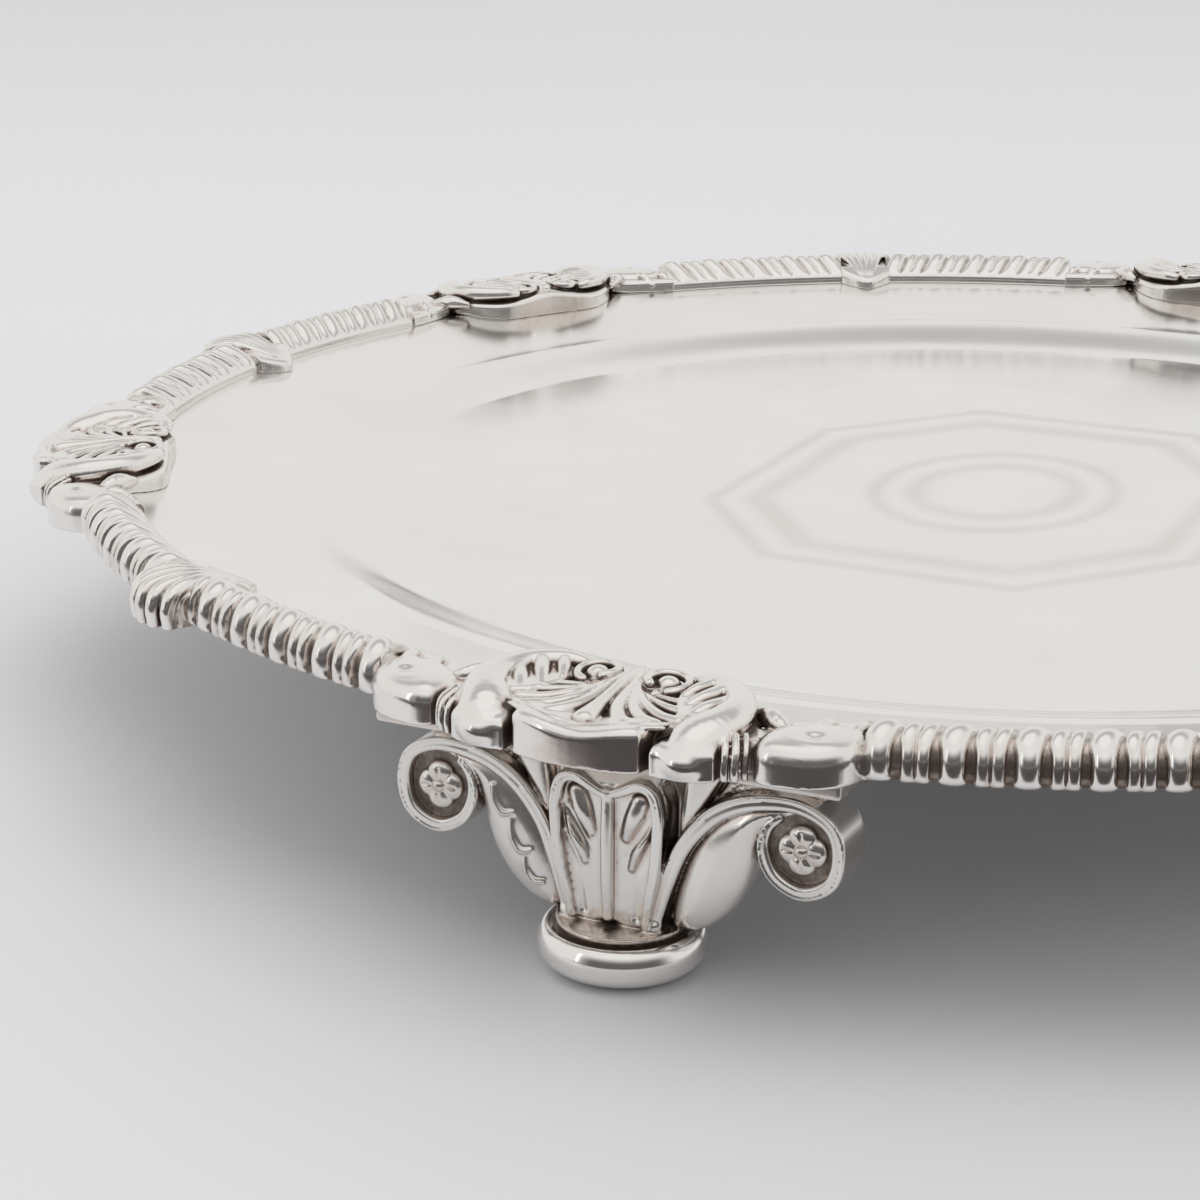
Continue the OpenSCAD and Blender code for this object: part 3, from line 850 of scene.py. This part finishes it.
def bracket_panel(clay):
    """The centre panel: a raised edge round a ribbed and grooved tongue."""
    side = [(0, 21), (1.6, 21.6), (3.6, 22.6), (5.4, 22.2), (6.35, 20.2), (6.4, 17.5), (6, 12.5),
            (5.2, 8.6), (4.5, 6.4), (2.2, 5.9)]
    outline = side + [(0, 6.2)] + [(-x, z) for x, z in side[:0:-1]]
    clay.join(pad(outline, -5.5, 1.05, 0.5), 0.1)
    shoulder = [(-5.5, 25), (5.5, 25), (5.6, 21.8), (3.4, 21.4), (0, 20.2), (-3.4, 21.4), (-5.6, 21.8)]
    clay.join(pad(shoulder, -5.5, lambda u, v: 1.3 - 0.55 * np.maximum(v - 21.5, 0), 0.5), 0.4)
    rim = [(-1.6, 20.9, 0.5, 2), (0, 20.4, 0.5, 2), (1.6, 20.95, 0.52, 2), (3.6, 21.85, 0.58, 2.05),
           (5.1, 21.35, 0.62, 2.1), (5.75, 19.4, 0.62, 2.15), (5.78, 16.8, 0.62, 2.15),
           (5.35, 12.4, 0.6, 2.1), (4.65, 9, 0.55, 1.9), (4.2, 6.5, 0.5, 1.5)]
    clay.join(strap(rim, -1, 0.3, edge=0.1), 0.15)
    clay.join(rope([(0, 20.6, 1.35, 0.65), (0, 16, 1.5, 0.72), (0, 11, 1.5, 0.72),
                    (0, 6.9, 1.2, 0.65)]), 0.15)
    clay.join(rope([(3.6, 20, 0.9, 1), (2.9, 18, 1.1, 1), (2.1, 15.9, 0.9, 0.7)], 0.8), 0.2)
    clay.join(rope([(4.5, 17.4, 0.9, 0.55), (3.7, 15.3, 1.3, 0.7), (2.7, 12.6, 1, 0.5)], 0.9), 0.12)
    for groove in ([(4.9, 18.6, 1.6, 0.55), (3.8, 16.9, 1.55, 0.62), (2, 14.1, 1.5, 0.5)],
                   [(4.8, 15.4, 1.5, 0.5), (4.1, 13.8, 1.5, 0.55), (3.1, 11.8, 1.4, 0.4)],
                   [(3.4, 11, 1.5, 0.4), (3.2, 9, 1.5, 0.6), (3, 7, 1.3, 0.5)],
                   [(1.05, 19.8, 1.6, 0.32), (1.15, 15, 1.6, 0.32), (1.3, 9, 1.5, 0.3),
                    (1.9, 6.4, 1.3, 0.25)]):
        clay.carve(rope(groove), 0.15)


def bracket_details(clay):
    """What differs between the two sides: veins on the left leaf, a worn crease on the right."""
    for u, v, length in ((-12.7, 17.2, 1.4), (-10.6, 13.4, 1.5), (-9, 9.9, 1.2)):
        clay.carve(rope([(u - 0.2, v + length, 1, 0.5), (u + 0.4, v - 0.1, 1.1, 0.7),
                         (u + 1.1, v - length * 0.7, 1, 0.5)], 0.9), 0.35)
        clay.join(rope([(u - 1.1, v + length, 0.35, 0.2), (u - 0.9, v - 0.1, 0.5, 0.3),
                        (u, v - length, 0.5, 0.3), (u + 1.1, v - length * 0.9, 0.4, 0.2)]), 0.3)
    clay.carve(rope([(12.4, 19.3, 0.4, 0.12), (9.9, 15.6, 0.5, 0.14), (8.2, 11.6, 0.5, 0.12),
                     (7.4, 8, 0.3, 0.1)]), 0.08)
    clay.carve(ball((11.4, 17, 0.8), (0.9, 0.55, 0.5)), 0.1)
    clay.carve(rope([(0.85, 20.2, 2.05, 0.28), (0.95, 15, 2.1, 0.33), (1.1, 9.6, 2, 0.32),
                     (1.9, 6.8, 1.7, 0.3)]), 0.1)


def neck(radius, low, high):
    """An upright round post behind the panel, over the middle of the bun."""
    middle = FOOT_R - FACE_R

    def distance(u, v, w):
        return np.maximum(np.hypot(u, w - middle) - radius, np.maximum(low - v, v - high))

    return Shape(distance, (-radius, low, middle - radius), (radius, high, middle + radius))


def sculpt_bracket():
    """A foot's bracket, in x, height and distance in front of the volutes' faces."""
    low, top = BRACKET_LOW[2], BRACKET_HIGH[2]
    clay = Clay((0, low - 0.4, -6.6), (BRACKET_HIGH[0] + 0.4, top + 0.5, 5.4), 0.185)
    bracket_body(clay)
    bracket_scrolls(clay)
    bracket_panel(clay)
    clay.join(neck(7.1, low - 1, 5.8), 0.6)
    clay.mirror()
    bracket_details(clay)
    clay.limit(lambda u, v, w: np.maximum(np.maximum(low - v, v - top), BRACKET_BACK - w))
    points, faces, hollow = clay.mesh()
    eye = np.hypot(np.abs(points[:, 0]) - VOLUTE_X, points[:, 1] - VOLUTE_Z)
    ground = smooth_step((-0.45 - points[:, 2]) / 0.3) * smooth_step((4.0 - eye) / 0.3)
    hollow = np.maximum(hollow, 0.78 * ground * (points[:, 2] > -1.5))
    return np.stack([points[:, 0], -FACE_R - points[:, 2], points[:, 1]], 1), faces, hollow


def make_brackets():
    points, faces, hollow = sculpt_bracket()
    # The bracket is made darker toward its bottom, below 6.9 mm, just above the bun.
    hollow = np.maximum(hollow, smooth_step((6.9 - points[:, 2]) / 0.9) * 0.52)
    make_round("bracket_{}", "foot_{}_bracket", FEET, points, [faces], foot_silver, hollow)


def sculpt_rosette():
    """Four creased petals round a boss, lying in the uv plane."""
    clay = Clay((-2.8, -2.8, -0.2), (2.8, 2.8, 1.5), 0.09)
    for k in range(4):
        c, s = math.cos(k * math.pi / 2), math.sin(k * math.pi / 2)
        wide = (1.3, 1.55) if k % 2 == 0 else (1.55, 1.3)
        clay.join(ball((1.4 * c, 1.4 * s, 0.2), (*wide, 0.75)))
        clay.carve(rope([(0.9 * c, 0.9 * s, 1.05, 0.2), (1.9 * c, 1.9 * s, 1, 0.22)]), 0.15)
    clay.join(ball((0, 0, 0.1), (1.1, 1.1, 0.25)), 0.1)
    clay.join(ball((0, 0, 0.6), (0.75, 0.75, 0.65)), 0.03)
    clay.limit(lambda u, v, w: -w)
    return clay.mesh(rounds=1)


def make_rosettes():
    points, faces, hollow = sculpt_rosette()
    hollow = np.maximum(hollow, 0.7 * smooth_step((0.35 - points[:, 2]) / 0.3))
    for side, name in ((-1, "left"), (1, "right")):
        placed = np.stack([points[:, 0] + side * VOLUTE_X, -FACE_R + EYE_D - points[:, 2],
                           points[:, 1] + VOLUTE_Z], 1)
        make_round("rosette_{}_" + name, "foot_{}_rosette_" + name, FEET, placed, [faces],
                   foot_silver, hollow)


def make_buns():
    """Flattened buns with a raised rim round a dished top."""
    height, radius = BUN_HIGH[2], (BUN_HIGH[0] - BUN_LOW[0]) / 2
    outside = [(4.4, 0), (3, 0.15), (1.3, 0.8), (0.3, 1.9), (0, 3), (0.15, 3.9), (0.55, 4.7),
               (1.05, 5.05), (1.45, 4.95), (1.8, 4.85), (2.4, 4.9), (3, height), (4, height)]
    outside = [(radius - inward, z) for inward, z in outside]
    profile = np.concatenate([[(0, 0)], smooth_curve(outside, 5), [(0, height)]])
    points, faces = lathe(profile, 180)
    rings = np.hypot(points[:, 0], points[:, 1])
    hollow = 0.7 * smooth_step((points[:, 2] - 4) / 0.3) * smooth_step((radius - 1.4 - rings) / 0.4)
    points = points - [0, FOOT_R, 0]
    make_round("bun_{}", "foot_{}_bun", FEET, points, faces, bun_silver, hollow)


def make_flanges():
    """Strips that the feet are soldered to, their tops cut to the underside of the sheet."""
    low, high = FLANGE_LOW, FLANGE_HIGH
    clay = Clay((0, -high[1] - 0.5, low[2] - 0.5), (high[0] + 0.5, -low[1] + 0.5, high[2] + 0.5), 0.2)
    strip = [(-3, -high[1]), (high[0], -high[1]), (high[0], -low[1]), (-3, -low[1])]
    clay.join(pad(strip, low[2], high[2] + 2, 0.35, smooth=False))

    def above(u, v, w):
        r = np.hypot(u, v)
        return w - np.minimum(UNDER_Z, underside(np.minimum(r, SHEET_EDGE)) - SHEET_T)

    clay.limit(above)
    clay.mirror()
    points, faces, hollow = clay.mesh()
    points = points * [1, -1, 1]
    make_round("flange_{}", "foot_{}_flange", FEET, points, [faces[:, ::-1]], flange_silver,
               hollow)


make_plate()
for run in range(1, 2 * SHELLS + 1):
    make_run(run)
make_shells()
make_fans()
make_flanges()
make_brackets()
make_rosettes()
make_buns()


# -------- studio

# In metres. Flag corners are given toward the camera and across.
TO_CAMERA = (0.4415, -0.8972)   # level direction from the salver to the camera
CAMERA_PLACE = (0.118745, -0.364871)
CAMERA_RISE = 0.10541           # above the well
CAMERA_LOOK = (-0.4206, 0.8548, -0.304)
CAMERA_LENS = 85.7
FLOOR_HALF = 3.0
FLAG_CORNERS = ((0.157, -0.6), (0.157, 0.6), (1.2, 1.2), (1.2, -1.2))
FLAG_LIFT = 0.001
DARK_LIGHT = (0.12, 0.85)       # near the camera, low down and higher up
ROOM_LIGHT = 0.80
BAND_LIGHT = 0.50
TOP_LIGHT = 0.90


def flat_sheet(name, corners, material):
    """A four-cornered sheet that belongs to the studio."""
    mesh = bpy.data.meshes.new(name)
    mesh.from_pydata(corners, [], [(0, 1, 2, 3)])
    mesh.materials.append(material)
    sheet = bpy.data.objects.new(name, mesh)
    bpy.context.scene.collection.objects.link(sheet)
    return sheet


def make_floor():
    """A plain pale table."""
    pale = clouded("pale_floor", 3.0, 3.0, 0.4, (0.735, 0.74, 0.76, 1), (0.785, 0.79, 0.81, 1))
    a = FLOOR_HALF
    flat_sheet("floor", [(-a, -a, 0), (a, -a, 0), (a, a, 0), (-a, a, 0)], pale)


def make_flag():
    """A black studio flag lying in front of the salver. It is seen only in reflections, and gives
    the upright edges their dark ones."""
    x, y = TO_CAMERA
    corners = [(ahead * x - across * y, ahead * y + across * x, FLAG_LIFT)
               for ahead, across in FLAG_CORNERS]
    cloth = clouded("black_cloth", 40.0, 2.0, 0.9, (0.04, 0.035, 0.035, 1), (0.06, 0.05, 0.05, 1))
    flag = flat_sheet("black_flag", corners, cloth)
    flag.visible_camera = False
    flag.visible_diffuse = False
    flag.visible_shadow = False


def add_softbox(name, place, target, width, height, power, mirrored):
    """A rectangular light aimed at a target. mirrored says whether the silver reflects it."""
    light = bpy.data.lights.new(name, "AREA")
    light.shape = "RECTANGLE"
    light.size, light.size_y = width, height
    light.energy = power
    lamp = bpy.data.objects.new(name, light)
    lamp.visible_glossy = mirrored
    bpy.context.scene.collection.objects.link(lamp)
    lamp.location = place
    lamp.rotation_euler = (Vector(target) - Vector(place)).to_track_quat("-Z", "Y").to_euler()


def world_strength(tree):
    """A pale room that is dark low down round the camera, greyer high up on the far side, and
    bright overhead."""
    direction = add_node(tree, "ShaderNodeTexCoord").outputs["Generated"]
    split = add_node(tree, "ShaderNodeSeparateXYZ", {"Vector": direction}).outputs
    height = split["Z"]
    facing = maths(tree, "ADD", maths(tree, "MULTIPLY", split["X"], TO_CAMERA[0]),
                   maths(tree, "MULTIPLY", split["Y"], TO_CAMERA[1]))
    near = ramp(tree, facing, 0.30, 0.75)
    dark = ramp(tree, height, 0.22, 0.62, *DARK_LIGHT)
    room = mixed(tree, near, ROOM_LIGHT, dark, "FLOAT")
    band = maths(tree, "MULTIPLY", ramp(tree, height, 0.60, 0.78), ramp(tree, facing, -0.05, -0.35))
    lit = mixed(tree, band, room, BAND_LIGHT, "FLOAT")
    return mixed(tree, ramp(tree, height, 0.84, 0.93), lit, TOP_LIGHT, "FLOAT")


def make_world():
    world = bpy.data.worlds.new("studio")
    bpy.context.scene.world = world
    world.use_nodes = True
    back = world.node_tree.nodes["Background"]
    world.node_tree.links.new(world_strength(world.node_tree), back.inputs["Strength"])
    back.inputs["Color"].default_value = (1.0, 0.995, 0.985, 1)


def make_camera():
    """The photo's viewpoint, with no depth of field."""
    camera = bpy.data.cameras.new("camera")
    camera.sensor_width = 36
    camera.lens = CAMERA_LENS
    camera.dof.use_dof = False
    view = bpy.data.objects.new("camera", camera)
    bpy.context.scene.collection.objects.link(view)
    view.location = (*CAMERA_PLACE, WELL_Z * MM + CAMERA_RISE)
    view.rotation_euler = Vector(CAMERA_LOOK).to_track_quat("-Z", "Y").to_euler()
    bpy.context.scene.camera = view


make_floor()
make_flag()
make_world()
add_softbox("top_softbox", place=(-0.12, 0.05, 1.0), target=(0, 0, 0), width=1.1, height=1.1,
            power=3.3, mirrored=False)
add_softbox("edge_strip", place=(-0.60, -0.95, 0.30), target=(0, -0.12, 0.02), width=0.05,
            height=0.5, power=0.15, mirrored=True)
make_camera()
bpy.context.scene.view_settings.view_transform = "Standard"
